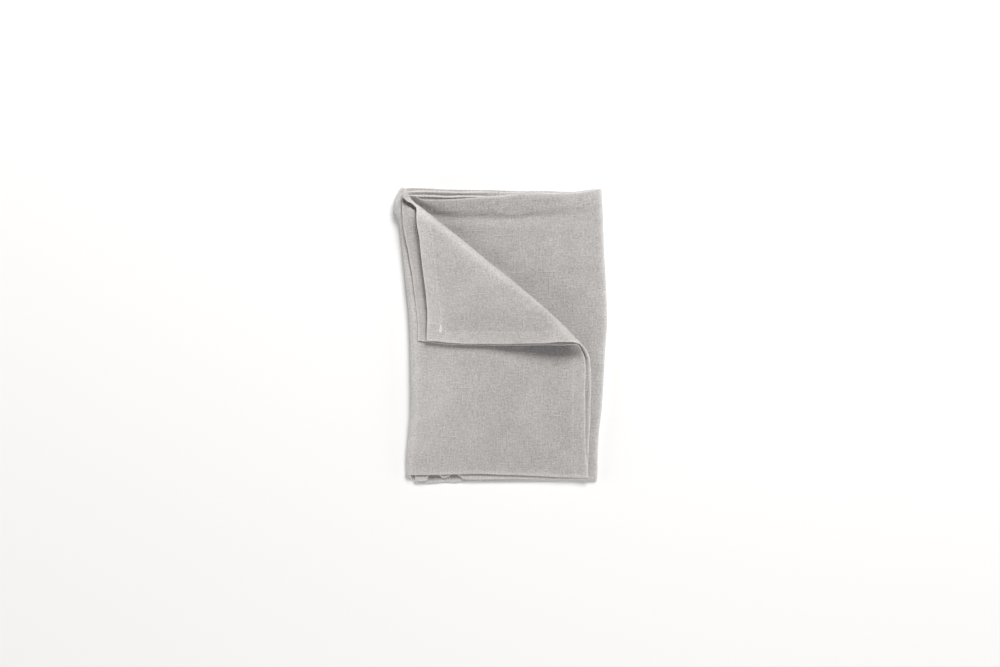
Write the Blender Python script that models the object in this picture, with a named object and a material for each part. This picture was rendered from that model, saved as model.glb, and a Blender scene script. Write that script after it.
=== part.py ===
"""A folded cloth napkin: one hemmed rectangle of plain-woven linen, folded in half, then in
thirds, with the two top layers of one corner turned down over the front.

It lies on its underside at z = 0. X runs across the three panels, Y towards the turned corner.
The cloth is drawn flat first, cut along its creases, and every point is then folded into place.

The letter fold, seen from the hemmed end (six sheets, P outer and Q inner sheet of each pair):

    left fold                              right fold
        .-- lid   P, Q  -------- hem
        |   tuck  P, Q  -----------.
        '-- base  Q, P  -----------'
"""

import math

import bmesh
import bpy
import numpy as np

MM = 0.001

# The flat cloth. P and Q are the halves above and below the first fold.
CLOTH_THICKNESS = 1.0 * MM
SHEET_PITCH = 1.4 * MM
P_LENGTH = 226.0 * MM
Q_LENGTH = 221.8 * MM
TUCK_WIDTH = 138.0 * MM
RIGHT_BEND = 4.4 * MM
BASE_WIDTH = 144.0 * MM
LEFT_BEND = 8.8 * MM
LID_WIDTH = 129.8 * MM
FIRST_BEND = math.pi * SHEET_PITCH / 2
CLOTH_WIDTH = TUCK_WIDTH + RIGHT_BEND + BASE_WIDTH + LEFT_BEND + LID_WIDTH
CLOTH_LENGTH = Q_LENGTH + FIRST_BEND + P_LENGTH

# Mid heights of the three pairs of sheets.
HALF_PITCH = SHEET_PITCH / 2
BASE_Z = CLOTH_THICKNESS / 2 + HALF_PITCH
TUCK_Z = BASE_Z + 2 * SHEET_PITCH
LID_Z = TUCK_Z + 2 * SHEET_PITCH
FOLD_REACH = HALF_PITCH + CLOTH_THICKNESS / 2

# Outermost lines of the two long folds: y and x in millimetres, from the stack's middle.
FOLD_LINES = (
    # y, left x, right x
    (-112, -72.6, 74.5),
    (-95, -72.4, 74.8),
    (-76, -70.6, 75.8),
    (-56, -69.0, 78.0),
    (-13, -69.4, 80.5),
    (11, -70.2, 82.0),
    (36, -72.6, 81.2),
    (66, -75.6, 79.6),
    (80, -77.0, 79.1),
    (88, -79.2, 78.8),
    (97, -81.8, 78.5),
    (105, -81.8, 78.1),
    (112, -79.6, 77.8),
)
TUCK_END_X = -62.8 * MM

# Where the ends of the sheets lie: y in millimetres along the cloth's width.
CLOTH_ENDS = (
    # per cent of the width, y of the first fold, y of P's hem, y of Q's hem
    (0.0, -112.6, 102.8, 98.2),
    (32.0, -112.0, 109.0, 104.4),
    (36.0, -112.0, 110.0, 105.4),
    (60.0, -112.8, 111.2, 106.6),
    (66.5, -114.8, 111.4, 106.8),
    (69.5, -111.6, 111.6, 106.9),
    (72.0, -109.4, 111.4, 106.2),
    (76.0, -109.4, 106.6, 99.0),
    (82.0, -109.6, 108.8, 100.8),
    (90.0, -110.0, 110.6, 102.8),
    (100.0, -110.6, 112.0, 106.0),
)

# The lid's hemmed side: y and x in millimetres of the two sheets.
LID_HEM = (
    # y, x of P, x of Q
    (-112, 67.2, 67.2),
    (-98, 66.2, 67.4),
    (-87, 65.2, 67.9),
    (-71, 64.9, 68.7),
    (-45, 64.9, 69.4),
    (-20, 65.6, 69.3),
    (40, 67.4, 67.6),
    (112, 67.5, 67.2),
)

# The lid stands a little higher at the end of the left fold, where the corner pulls it open.
LIFT_TOP = 2.2 * MM
LIFT_START_Y = 74 * MM
LIFT_END_Y = 104 * MM
LIFT_REACH = 26 * MM

# The turned corner: a roll along a diagonal line, tight at the left end and open at the right.
ROLL_ORIGIN = (-67.4 * MM, 100.1 * MM)
ROLL_ANGLE = math.radians(-39.4)
ROLL_SHAPE = (
    # distance along the diagonal, length of cloth round the roll, outermost line of the roll
    (-30, 6.4, 27.0),
    (-16, 6.4, 11.6),
    (-10, 6.4, 5.0),
    (0, 6.6, 0.7),
    (35, 9.2, 1.6),
    (100, 15.0, 2.0),
    (146, 20.5, 0.8),
    (163, 23.0, -1.2),
    (190, 25.0, -3.4),
)
MOUTH_LENGTH = ROLL_SHAPE[-1][1] * MM
ROLL_EASE = 1.35
ROLL_STEPS = 24

# The two sheets part on the roll, most at its open mouth, and nearly close again on the flap.
MOUTH_SPREAD = 0.9 * MM
FLAP_CLOSING = 0.85

# The flap beyond the roll: what the drape takes from its length, its lean, rest and fall.
FLAP_SHRINK = 0.90
FLAP_SHEAR = 0.32
FLAP_REST = 2 * SHEET_PITCH
FLAP_FALL = 52 * MM

# Soft swells of the tucked panel, where the lid leaves it uncovered.
SWELL_HEIGHT = 1.0 * MM
SWELL_CLEARANCE = 9 * MM
SWELLS = (
    # middle x, middle y, reach along x, reach along y, share of the height
    (20, 94, 36, 5.5, 1.0),
    (24, 76, 35, 7, 0.8),
    (56, 40, 16, 20, 0.6),
)

# How finely the cloth is cut: cells in each stretch, the last of each half beside its hem.
TUCK_CELLS = 9
RIGHT_BEND_CELLS = 4
BASE_CELLS = 9
LEFT_BEND_CELLS = 6
LID_START = 18 * MM
LID_START_CELLS = 4
LID_CELLS = 13
FIRST_BEND_CELLS = 3
HEM_STRETCH = 44 * MM
HEM_STRETCH_CELLS = 11
PLAIN_CELLS = 13
ROLL_CUTS = (0.0, 0.12, 0.24, 0.36, 0.48, 0.60, 0.72, 0.86, 1.0, 1.25, 1.6, 2.1, 2.8)
CUT_ENDS = (5 * MM, 170 * MM)
WELD = 0.01 * MM

LINEN = (0.462, 0.440, 0.413, 1.0)
LINEN_ROUGHNESS = 0.92


def along(rows, at, column):
    """A smooth curve through one column of a table in millimetres, read in metres.

    Its slope at a row is the harmonic mean of the slopes on both sides, or level at a turning
    point, so the curve never swings past its rows.
    """
    table = np.array(rows, float) * MM
    x, y = table[:, 0], table[:, column]
    secant = np.diff(y) / np.diff(x)
    before, after = secant[:-1], secant[1:]
    same_way = before * after > 0
    mean = 2 * before * after / np.where(same_way, before + after, 1.0)
    slope = np.concatenate([secant[:1], np.where(same_way, mean, 0.0), secant[-1:]])
    at = np.clip(at, x[0], x[-1])
    i = np.clip(np.searchsorted(x, at) - 1, 0, len(x) - 2)
    width = x[i + 1] - x[i]
    t = (at - x[i]) / width
    start = (1 + 2 * t) * (1 - t) ** 2 * y[i] + t * (1 - t) ** 2 * width * slope[i]
    end = t * t * (3 - 2 * t) * y[i + 1] + t * t * (t - 1) * width * slope[i + 1]
    return start + end


def across(share, column):
    """One column of CLOTH_ENDS at a share of the cloth's width."""
    return along(CLOTH_ENDS, share * 100 * MM, column)


def smooth_step(value):
    value = np.clip(value, 0.0, 1.0)
    return value * value * (3 - 2 * value)


def smooth_slope(value):
    """The slope of smooth_step."""
    value = np.clip(value, 0.0, 1.0)
    return 6 * value * (1 - value)


def lift_at(y):
    return LIFT_TOP * smooth_step((y - LIFT_START_Y) / (LIFT_END_Y - LIFT_START_Y))


def left_bend(y):
    """Centre x and radius of the left fold's bend, on the middle of its pair of sheets."""
    radius = (LID_Z + lift_at(y) - BASE_Z) / 2
    return along(FOLD_LINES, y, 1) + radius + FOLD_REACH, radius


def right_bend(y):
    radius = np.full_like(y, (TUCK_Z - BASE_Z) / 2)
    return along(FOLD_LINES, y, 2) - radius - FOLD_REACH, radius


def lid_height(x, y):
    """Mid height of the lid's pair of sheets above a point of the plan."""
    centre, _ = left_bend(y)
    return LID_Z + lift_at(y) * (1 - smooth_step((x - centre) / LIFT_REACH))


def unit_roll():
    """Run and rise of a roll one unit of cloth long, at equal steps of the cloth."""
    share = np.linspace(0, 1, ROLL_STEPS + 1)
    turn = math.pi * share**ROLL_EASE
    middle = (turn[1:] + turn[:-1]) / 2
    run = np.append(0.0, np.cumsum(np.cos(middle))) / ROLL_STEPS
    rise = np.append(0.0, np.cumsum(np.sin(middle))) / ROLL_STEPS
    return share, run, rise


ROLL_SHARE, ROLL_RUN, ROLL_RISE = unit_roll()


def roll_coordinates(x, y):
    """Distance along the diagonal and distance out from it."""
    cos, sin = math.cos(ROLL_ANGLE), math.sin(ROLL_ANGLE)
    dx, dy = x - ROLL_ORIGIN[0], y - ROLL_ORIGIN[1]
    return dx * cos + dy * sin, -dx * sin + dy * cos


def plan_of(s, out):
    """The point of the plan at a distance along the diagonal and a distance out from it."""
    cos, sin = math.cos(ROLL_ANGLE), math.sin(ROLL_ANGLE)
    return ROLL_ORIGIN[0] + s * cos - out * sin, ROLL_ORIGIN[1] + s * sin + out * cos


def roll_start(s):
    """Where the lid leaves the stack, measured out from the diagonal, and the roll's length."""
    length = along(ROLL_SHAPE, s, 1)
    return along(ROLL_SHAPE, s, 2) - FOLD_REACH - ROLL_RUN.max() * length, length


def swell(x, y):
    """Rise of the tucked panel, none where the lid covers it or leaves it."""
    total = np.zeros_like(x)
    for middle_x, middle_y, reach_x, reach_y, share in SWELLS:
        far = ((x / MM - middle_x) / reach_x) ** 2 + ((y / MM - middle_y) / reach_y) ** 2
        total += SWELL_HEIGHT * share * np.exp(-far)
    s, out = roll_coordinates(x, y)
    start, _ = roll_start(s)
    return total * smooth_step((out - start) / SWELL_CLEARANCE)


def turn_corner(x, y, offset, side):
    """Takes flat points of the lid over the roll, and the flap beyond it back onto the lid.

    offset is their distance above the pair's middle, side 1 on sheet P and -1 on sheet Q.
    """
    s, out = roll_coordinates(x, y)
    start, length = roll_start(s)
    past = np.maximum(out - start, 0.0)
    on_roll = np.minimum(past, length)
    on_flap = FLAP_SHRINK * (past - on_roll)
    share = on_roll / length
    run = np.interp(share, ROLL_SHARE, ROLL_RUN) * length
    rise = np.interp(share, ROLL_SHARE, ROLL_RISE) * length
    turn = math.pi * share**ROLL_EASE
    fall = np.maximum(ROLL_RISE[-1] * length - FLAP_REST, 0.0)
    fallen = on_flap / FLAP_FALL
    rise -= fall * smooth_step(fallen)
    turn += np.arctan(fall / FLAP_FALL * smooth_slope(fallen))
    parted = smooth_step(2 * share) * (1 - FLAP_CLOSING * smooth_step(fallen))
    offset = offset + side * MOUTH_SPREAD * parted * length / MOUTH_LENGTH
    cloth = on_roll + on_flap
    s = s - FLAP_SHEAR * cloth**2 / (cloth + length)
    out = np.where(past > 0, start + run - on_flap - offset * np.sin(turn), out)
    plan_x, plan_y = plan_of(s, out)
    return plan_x, plan_y, lid_height(plan_x, plan_y) + rise + offset * np.cos(turn)


def sheet_position(v, width_share, depth):
    """Distance above the middle of the pair (P side up), the y of each point, and its side.

    depth is the point's distance from the middle of its sheet, positive on the outer face.
    """
    bend = np.clip((v - Q_LENGTH) / FIRST_BEND, 0, 1) * math.pi
    reach = HALF_PITCH + depth
    on_q = v < Q_LENGTH
    hem_y = np.where(on_q, across(width_share, 3), across(width_share, 2))
    up = np.where(on_q, 1 - v / Q_LENGTH, (v - Q_LENGTH - FIRST_BEND) / P_LENGTH)
    fold_middle = across(width_share, 1) + HALF_PITCH
    y = fold_middle + np.clip(up, 0, 1) * (hem_y - fold_middle) - reach * np.sin(bend)
    return -reach * np.cos(bend), y, -np.cos(bend)


def fold(u, v, depth):
    """Folded place of points of the flat cloth: u across the panels, v from Q's hem to P's."""
    offset, y, side = sheet_position(v, u / CLOTH_WIDTH, depth)
    left_x, left_radius = left_bend(y)
    right_x, right_radius = right_bend(y)
    x, z = np.zeros_like(u), np.zeros_like(u)
    ends = np.cumsum([0, TUCK_WIDTH, RIGHT_BEND, BASE_WIDTH, LEFT_BEND, LID_WIDTH])
    part = [(u - ends[i]) / (ends[i + 1] - ends[i]) for i in range(5)]

    tuck = u <= ends[1]
    x[tuck] = (TUCK_END_X + part[0] * (right_x - TUCK_END_X))[tuck]
    z[tuck] = (TUCK_Z + offset + swell(x, y))[tuck]

    bend = (u > ends[1]) & (u < ends[2])
    angle = math.pi * (0.5 - part[1])
    x[bend] = (right_x + (right_radius + offset) * np.cos(angle))[bend]
    z[bend] = (BASE_Z + right_radius + (right_radius + offset) * np.sin(angle))[bend]

    base = (u >= ends[2]) & (u <= ends[3])
    x[base] = (right_x + part[2] * (left_x - right_x))[base]
    z[base] = (BASE_Z - offset)[base]

    bend = (u > ends[3]) & (u < ends[4])
    angle = math.pi * (1.5 - part[3])
    x[bend] = (left_x + (left_radius + offset) * np.cos(angle))[bend]
    z[bend] = (BASE_Z + left_radius + (left_radius + offset) * np.sin(angle))[bend]

    lid = u >= ends[4]
    weight = (1 + side) / 2
    hem_x = along(LID_HEM, y, 1) * weight + along(LID_HEM, y, 2) * (1 - weight)
    flat_x = left_x + part[4] * (hem_x - left_x)
    x[lid], y[lid], z[lid] = turn_corner(flat_x[lid], y[lid], offset[lid], side[lid])
    return x, y, z


def even(start, length, cells):
    return [start + length * i / cells for i in range(1, cells + 1)]


def cut(bm, point, normal, faces=None):
    """Cuts the flat cloth, or some of its faces, along a line."""
    faces = list(bm.faces) if faces is None else faces
    edges = {edge for face in faces for edge in face.edges}
    corners = {corner for face in faces for corner in face.verts}
    geometry = [*faces, *edges, *corners]
    bmesh.ops.bisect_plane(bm, geom=geometry, dist=WELD, plane_co=point, plane_no=normal)


def lid_to_cloth(x, y, half):
    """The flat cloth's u and v of a point of the untouched lid, on sheet P (1) or Q (-1)."""
    x, y = np.array([x]), np.array([y])
    left_x, _ = left_bend(y)
    hem_x = along(LID_HEM, y, 1 if half > 0 else 2)
    u = CLOTH_WIDTH - LID_WIDTH * (hem_x - x) / (hem_x - left_x)
    low = across(u / CLOTH_WIDTH, 1) + HALF_PITCH
    high = across(u / CLOTH_WIDTH, 2 if half > 0 else 3)
    up = (y - low) / (high - low)
    v = Q_LENGTH + FIRST_BEND + up * P_LENGTH if half > 0 else Q_LENGTH * (1 - up)
    return float(u[0]), float(v[0])


def diagonal_cuts(bm):
    """Cuts both halves of the lid along lines that fan out from the tight end of the roll."""
    lid_start = CLOTH_WIDTH - LID_WIDTH
    for half in (1, -1):
        low, high = (Q_LENGTH + FIRST_BEND, CLOTH_LENGTH) if half > 0 else (0.0, Q_LENGTH)
        for share in ROLL_CUTS:
            ends = []
            for s in CUT_ENDS:
                start, length = roll_start(np.array([s]))
                x, y = plan_of(s, float(start[0] + share * length[0]))
                ends.append(lid_to_cloth(x, y, half))
            (u1, v1), (u2, v2) = ends
            faces = []
            for face in bm.faces:
                middle = face.calc_center_median()
                if middle.x > lid_start and low < middle.y < high:
                    faces.append(face)
            cut(bm, (u1, v1, 0), (v2 - v1, u1 - u2, 0), faces)


def thicken(bm):
    """Gives the flat cloth its thickness, half of it on each side of the drawing plane."""
    raised = bmesh.ops.extrude_face_region(bm, geom=list(bm.faces), use_keep_orig=True)
    top = {item for item in raised["geom"] if isinstance(item, bmesh.types.BMVert)}
    for corner in bm.verts:
        corner.co.z = CLOTH_THICKNESS / 2 if corner in top else -CLOTH_THICKNESS / 2
    bmesh.ops.recalc_face_normals(bm, faces=list(bm.faces))


def flat_cloth():
    """The flat napkin, cut into cells along its panels, bends and the roll."""
    bm = bmesh.new()
    corners = ((0, 0), (CLOTH_WIDTH, 0), (CLOTH_WIDTH, CLOTH_LENGTH), (0, CLOTH_LENGTH))
    bm.faces.new([bm.verts.new((u, v, 0)) for u, v in corners])
    columns, start = [], 0.0
    for width, cells in (
        (TUCK_WIDTH, TUCK_CELLS),
        (RIGHT_BEND, RIGHT_BEND_CELLS),
        (BASE_WIDTH, BASE_CELLS),
        (LEFT_BEND, LEFT_BEND_CELLS),
        (LID_START, LID_START_CELLS),
        (LID_WIDTH - LID_START, LID_CELLS),
    ):
        columns += even(start, width, cells)
        start += width
    rows, start = [], 0.0
    for height, cells in (
        (HEM_STRETCH, HEM_STRETCH_CELLS),
        (Q_LENGTH - HEM_STRETCH, PLAIN_CELLS),
        (FIRST_BEND, FIRST_BEND_CELLS),
        (P_LENGTH - HEM_STRETCH, PLAIN_CELLS),
        (HEM_STRETCH, HEM_STRETCH_CELLS),
    ):
        rows += even(start, height, cells)
        start += height
    for u in columns[:-1]:
        cut(bm, (u, 0, 0), (1, 0, 0))
    for v in rows[:-1]:
        cut(bm, (0, v, 0), (0, 1, 0))
    diagonal_cuts(bm)
    thicken(bm)
    return bm


def linen():
    material = bpy.data.materials.new("washed_linen")
    material.use_nodes = True
    shader = material.node_tree.nodes["Principled BSDF"]
    shader.inputs["Base Color"].default_value = LINEN
    shader.inputs["Roughness"].default_value = LINEN_ROUGHNESS
    shader.inputs["Metallic"].default_value = 0.0
    material.diffuse_color = LINEN
    return material


def napkin():
    """The folded cloth, its box centred on the Z axis and standing on z = 0."""
    bm = flat_cloth()
    flat = np.array([corner.co[:] for corner in bm.verts])
    places = np.column_stack(fold(flat[:, 0], flat[:, 1], flat[:, 2]))
    low, high = places.min(axis=0), places.max(axis=0)
    places -= [(low[0] + high[0]) / 2, (low[1] + high[1]) / 2, low[2]]
    for corner, place in zip(bm.verts, places):
        corner.co = place
    mesh = bpy.data.meshes.new("napkin_cloth")
    bm.to_mesh(mesh)
    bm.free()
    mesh.shade_smooth()
    mesh.materials.append(linen())
    cloth = bpy.data.objects.new("napkin_cloth", mesh)
    bpy.context.scene.collection.objects.link(cloth)
    return cloth


def main():
    for item in list(bpy.data.objects):
        bpy.data.objects.remove(item)
    return napkin()


main()
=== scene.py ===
# %% [markdown]
# # A folded linen napkin
# A table napkin is one hemmed rectangle of linen. Here it is folded in half, then in thirds,
# and the two top layers of one corner are turned down over the front in a soft roll.
# The lesson follows the order of the real thing: weave and hem the cloth flat, sew it, and only
# then fold it. Everything that belongs to the cloth, such as a stitch, is placed on the flat
# cloth in millimetres and goes through the same folding function.

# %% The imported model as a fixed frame
import math

import bmesh
import bpy
import numpy as np
from mathutils import Matrix, Vector, noise


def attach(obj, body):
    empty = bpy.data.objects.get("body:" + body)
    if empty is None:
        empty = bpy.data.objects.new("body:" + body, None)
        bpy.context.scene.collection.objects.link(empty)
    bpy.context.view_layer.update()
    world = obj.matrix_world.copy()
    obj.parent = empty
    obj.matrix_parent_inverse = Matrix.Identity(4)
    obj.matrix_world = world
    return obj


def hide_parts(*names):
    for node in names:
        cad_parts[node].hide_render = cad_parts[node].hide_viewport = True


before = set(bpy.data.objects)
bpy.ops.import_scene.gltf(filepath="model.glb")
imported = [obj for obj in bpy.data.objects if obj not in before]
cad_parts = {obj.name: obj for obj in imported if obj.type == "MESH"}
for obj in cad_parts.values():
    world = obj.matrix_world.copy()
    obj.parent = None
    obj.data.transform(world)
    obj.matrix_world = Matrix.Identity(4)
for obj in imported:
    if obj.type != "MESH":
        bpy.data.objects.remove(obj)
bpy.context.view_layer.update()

MM = 0.001

# %% [markdown]
# ## The camera
# The napkin is looked at from straight above, so its layers show as thin steps along its edges.
# A long lens far away keeps the upright sides of the folds from leaning outwards. One pixel of
# the picture is 0.77 mm of cloth, worked out from the usual 450 mm of a table napkin.

# %% A camera straight above
PICTURE_WIDTH_PX, PICTURE_HEIGHT_PX = 1000, 667
MM_PER_PX = 0.77
CAMERA_HEIGHT = 2.0
SENSOR_WIDTH_MM = 36.0
# The folding below works in coordinates whose zero is this pixel of the picture.
STACK_ZERO_PX = (500.5, 333.0)
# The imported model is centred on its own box, which lies off that zero by this much.
STACK_MIDDLE = (0.1 * MM, -1.52 * MM)

view_x = (PICTURE_WIDTH_PX / 2 - STACK_ZERO_PX[0]) * MM_PER_PX * MM - STACK_MIDDLE[0]
view_y = (STACK_ZERO_PX[1] - PICTURE_HEIGHT_PX / 2) * MM_PER_PX * MM - STACK_MIDDLE[1]
camera_data = bpy.data.cameras.new("camera_above")
camera_data.sensor_width = SENSOR_WIDTH_MM
camera_data.lens = SENSOR_WIDTH_MM * CAMERA_HEIGHT / (PICTURE_WIDTH_PX * MM_PER_PX * MM)
camera = bpy.data.objects.new("camera_above", camera_data)
camera.location = (view_x, view_y, CAMERA_HEIGHT)
bpy.context.scene.collection.objects.link(camera)
bpy.context.scene.camera = camera
print(f"camera {CAMERA_HEIGHT} m up, lens {camera_data.lens:.0f} mm")

# %% [markdown]
# ## Nodes and colours
# Every material below is a handful of nodes. One small function adds any node with its settings
# and links, and one turns a colour picked as sRGB hex into the linear values that shaders read.

# %% Two helpers for materials
def hex_colour(text):
    """A colour such as "#B5B1AC" as linear red, green, blue and alpha."""
    channels = [int(text[i : i + 2], 16) / 255 for i in (1, 3, 5)]
    return [c / 12.92 if c < 0.04045 else ((c + 0.055) / 1.055) ** 2.4 for c in channels] + [1.0]


def add_node(tree, kind, links=(), **settings):
    """Adds a node. Settings whose name is a socket's go to that socket, others to the node.

    links holds pairs of an input's name or number and the output socket that feeds it.
    """
    node = tree.nodes.new(kind)
    for name, value in settings.items():
        if hasattr(node, name):
            setattr(node, name, value)
        else:
            node.inputs[name.replace("_", " ")].default_value = value
    for socket, source in links:
        tree.links.new(source, node.inputs[socket])
    return node


def new_material(name):
    material = bpy.data.materials.new(name)
    material.use_nodes = True
    return material, material.node_tree, material.node_tree.nodes["Principled BSDF"]


# %% [markdown]
# ## Floor and light
# A plain pale floor stands for the table. Linen shows its folds through soft shade, so most of
# the light comes from one wide lamp at the far side, 43 degrees up, which lays short soft
# shadows towards the near side. Weaker panels low down on the other sides do what the white
# walls of a studio do: they keep the shaded sides from going black, and hardly touch what lies
# flat. A faint sky adds a little even light.

# %% Floor, sky and lamps
FLOOR_SIZE = 6.0
FLOOR_COLOUR, FLOOR_ROUGHNESS = "#FBFAF9", 0.9
SKY_COLOUR, SKY_STRENGTH = "#FFFFFF", 0.16
floor_mesh = bpy.data.meshes.new("floor")
bm = bmesh.new()
bmesh.ops.create_grid(bm, x_segments=1, y_segments=1, size=FLOOR_SIZE / 2)
bm.to_mesh(floor_mesh)
bm.free()
floor = bpy.data.objects.new("floor", floor_mesh)
bpy.context.scene.collection.objects.link(floor)
# Matt wall paint has no gloss, so the floor gives back even light and mirrors nothing.
paint, _, shader = new_material("matt_white_paint")
shader.inputs["Base Color"].default_value = hex_colour(FLOOR_COLOUR)
shader.inputs["Roughness"].default_value = FLOOR_ROUGHNESS
floor_mesh.materials.append(paint)

world = bpy.data.worlds.new("pale_sky")
bpy.context.scene.world = world
world.use_nodes = True
sky = world.node_tree.nodes["Background"]
sky.inputs["Color"].default_value = hex_colour(SKY_COLOUR)
sky.inputs["Strength"].default_value = SKY_STRENGTH

LAMPS = (
    # name, azimuth and elevation in degrees, distance, width and height in m, power in W
    ("main_lamp", 72, 43, 1.8, 0.9, 0.7, 34.0),
    ("right_panel", 0, 16, 1.6, 1.4, 0.5, 5.0),
    ("left_panel", 180, 16, 1.6, 1.4, 0.5, 7.5),
    ("near_panel", 270, 18, 1.6, 1.4, 0.5, 11.5),
)
for name, azimuth, elevation, distance, width, height, power in LAMPS:
    turn, tilt = math.radians(azimuth), math.radians(elevation)
    flat = math.cos(tilt)
    towards = Vector((flat * math.cos(turn), flat * math.sin(turn), math.sin(tilt)))
    lamp_data = bpy.data.lights.new(name, "AREA")
    lamp_data.shape = "RECTANGLE"
    lamp_data.size, lamp_data.size_y = width, height
    lamp_data.energy = power
    lamp = bpy.data.objects.new(name, lamp_data)
    lamp.location = towards * distance
    lamp.rotation_euler = towards.to_track_quat("Z", "Y").to_euler()
    bpy.context.scene.collection.objects.link(lamp)
    print(name, "at", [round(c, 2) for c in lamp.location])
bpy.context.scene.view_settings.view_transform = "Standard"

# %% [markdown]
# ## The cloth's sizes
# The flat napkin is 425 by 450 mm. P and Q are its halves above and below the first fold. Across,
# it has five stretches: the panel that is tucked in first, the right fold, the base, the left
# fold and the lid. The body of the cloth is 0.6 mm thick here, a little fuller than real linen
# so that the layers read, and its hem, which is turned twice to the inside, is 1.1 mm thick.

# %% Sizes of the flat cloth
P_LENGTH = 226.0 * MM
Q_LENGTH = 221.8 * MM
TUCK_WIDTH = 138.0 * MM
RIGHT_BEND = 4.4 * MM
BASE_WIDTH = 144.0 * MM
LEFT_BEND = 8.8 * MM
LID_WIDTH = 129.8 * MM
SHEET_PITCH = 1.4 * MM
OUTER_FACE = 0.5 * MM
BODY_THICKNESS = 0.6 * MM
HEM_THICKNESS = 1.1 * MM
HEM_WIDTH = 10.0 * MM
HEM_STEP = 0.9 * MM
EDGE_ROUND = 0.6 * MM

FIRST_BEND = math.pi * SHEET_PITCH / 2
CLOTH_WIDTH = TUCK_WIDTH + RIGHT_BEND + BASE_WIDTH + LEFT_BEND + LID_WIDTH
CLOTH_LENGTH = Q_LENGTH + FIRST_BEND + P_LENGTH
P_START = Q_LENGTH + FIRST_BEND
LID_START = CLOTH_WIDTH - LID_WIDTH
HALF_PITCH = SHEET_PITCH / 2
BASE_Z = OUTER_FACE + HALF_PITCH
TUCK_Z = BASE_Z + 2 * SHEET_PITCH
LID_Z = TUCK_Z + 2 * SHEET_PITCH
FOLD_REACH = HALF_PITCH + OUTER_FACE
print(f"flat cloth {CLOTH_WIDTH / MM:.0f} x {CLOTH_LENGTH / MM:.0f} mm")

# %% [markdown]
# ## Where the folds and hems lie
# No real fold is straight. Each table gives a line through measured places, in millimetres from
# the middle of the stack, and a smooth curve joins them. Its slope at a row is the harmonic mean
# of the slopes on both sides, so it never swings past a row. Rows crowd where a hem crumples.

# %% Tables of the fold lines and hems
FOLD_LINES = (
    # y, left x, right x
    (-115.5, -71.4, 74.0),
    (-110.5, -72.4, 74.5),
    (-108, -72.6, 74.6),
    (-95, -72.4, 74.8),
    (-76, -70.6, 75.8),
    (-56, -69.0, 78.0),
    (-13, -69.4, 80.5),
    (11, -70.2, 82.0),
    (36, -72.6, 81.2),
    (66, -75.7, 79.6),
    (72, -76.3, 79.4),
    (80, -77.2, 79.1),
    (86, -77.9, 78.9),
    (90, -80.0, 78.8),
    (94, -81.6, 78.6),
    (99, -81.9, 78.4),
    (103, -81.1, 78.2),
    (108, -79.0, 78.0),
    (112, -76.4, 77.8),
)
TUCK_END = (
    # y, x of the tucked panel's end
    (-115, -65.8),
    (50, -66.0),
    (90, -69.5),
    (106, -71.5),
)
CLOTH_ENDS = (
    # per cent of the width, y of the first fold, y of P's hem, y of Q's hem
    (0.0, -113.4, 105.8, 106.3),
    (1.4, -113.6, 105.6, 106.2),
    (2.0, -113.2, 103.4, 106.1),
    (2.8, -107.6, 102.4, 106.0),
    (3.9, -107.2, 102.1, 105.9),
    (4.9, -111.0, 102.1, 105.8),
    (5.8, -111.2, 102.2, 105.6),
    (6.7, -107.8, 102.4, 105.4),
    (7.6, -107.8, 102.6, 105.4),
    (8.6, -111.9, 102.8, 105.7),
    (9.8, -112.4, 103.2, 105.8),
    (12.4, -112.3, 103.8, 105.4),
    (14.2, -112.2, 104.3, 105.2),
    (16.0, -112.2, 105.0, 105.8),
    (17.7, -112.1, 106.0, 106.4),
    (20.7, -112.0, 106.9, 106.8),
    (26.0, -112.0, 107.2, 107.0),
    (30.0, -112.0, 108.2, 107.9),
    (32.5, -112.2, 110.6, 110.0),
    (34.2, -112.3, 111.0, 110.3),
    (35.9, -112.4, 110.0, 109.0),
    (37.6, -112.4, 109.0, 108.0),
    (39.4, -112.4, 109.0, 107.9),
    (44.7, -112.7, 109.6, 108.3),
    (48.2, -113.1, 109.6, 108.2),
    (50.0, -113.5, 109.8, 108.4),
    (54.0, -113.6, 110.4, 108.9),
    (58.0, -113.9, 110.4, 108.9),
    (59.6, -114.6, 110.6, 109.0),
    (61.2, -114.0, 110.8, 109.2),
    (62.6, -114.8, 111.3, 109.5),
    (64.2, -115.3, 111.6, 109.6),
    (66.5, -114.9, 111.8, 109.3),
    (67.2, -114.2, 111.7, 109.0),
    (67.6, -110.0, 111.6, 109.0),
    (67.9, -108.7, 111.6, 109.1),
    (68.5, -108.7, 111.7, 109.5),
    (69.2, -108.7, 111.8, 110.4),
    (69.5, -108.7, 111.9, 110.8),
    (69.8, -108.7, 112.0, 110.9),
    (70.15, -108.7, 111.9, 110.9),
    (70.5, -108.7, 111.4, 110.2),
    (71.2, -108.7, 109.8, 106.5),
    (71.85, -108.7, 109.1, 103.2),
    (72.4, -108.6, 109.4, 101.3),
    (72.9, -108.6, 109.8, 99.9),
    (73.5, -108.6, 109.9, 99.5),
    (74.3, -108.5, 110.0, 99.6),
    (76.5, -108.2, 110.0, 100.3),
    (78.3, -108.0, 110.0, 100.3),
    (80.4, -107.9, 109.7, 100.7),
    (82.0, -107.9, 109.8, 101.0),
    (85.2, -108.5, 109.5, 101.4),
    (88.7, -109.0, 109.6, 101.5),
    (92.2, -109.7, 109.7, 102.0),
    (95.7, -110.5, 110.2, 103.9),
    (98.0, -110.7, 111.6, 105.7),
    (100.0, -110.9, 112.8, 107.3),
)
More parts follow.
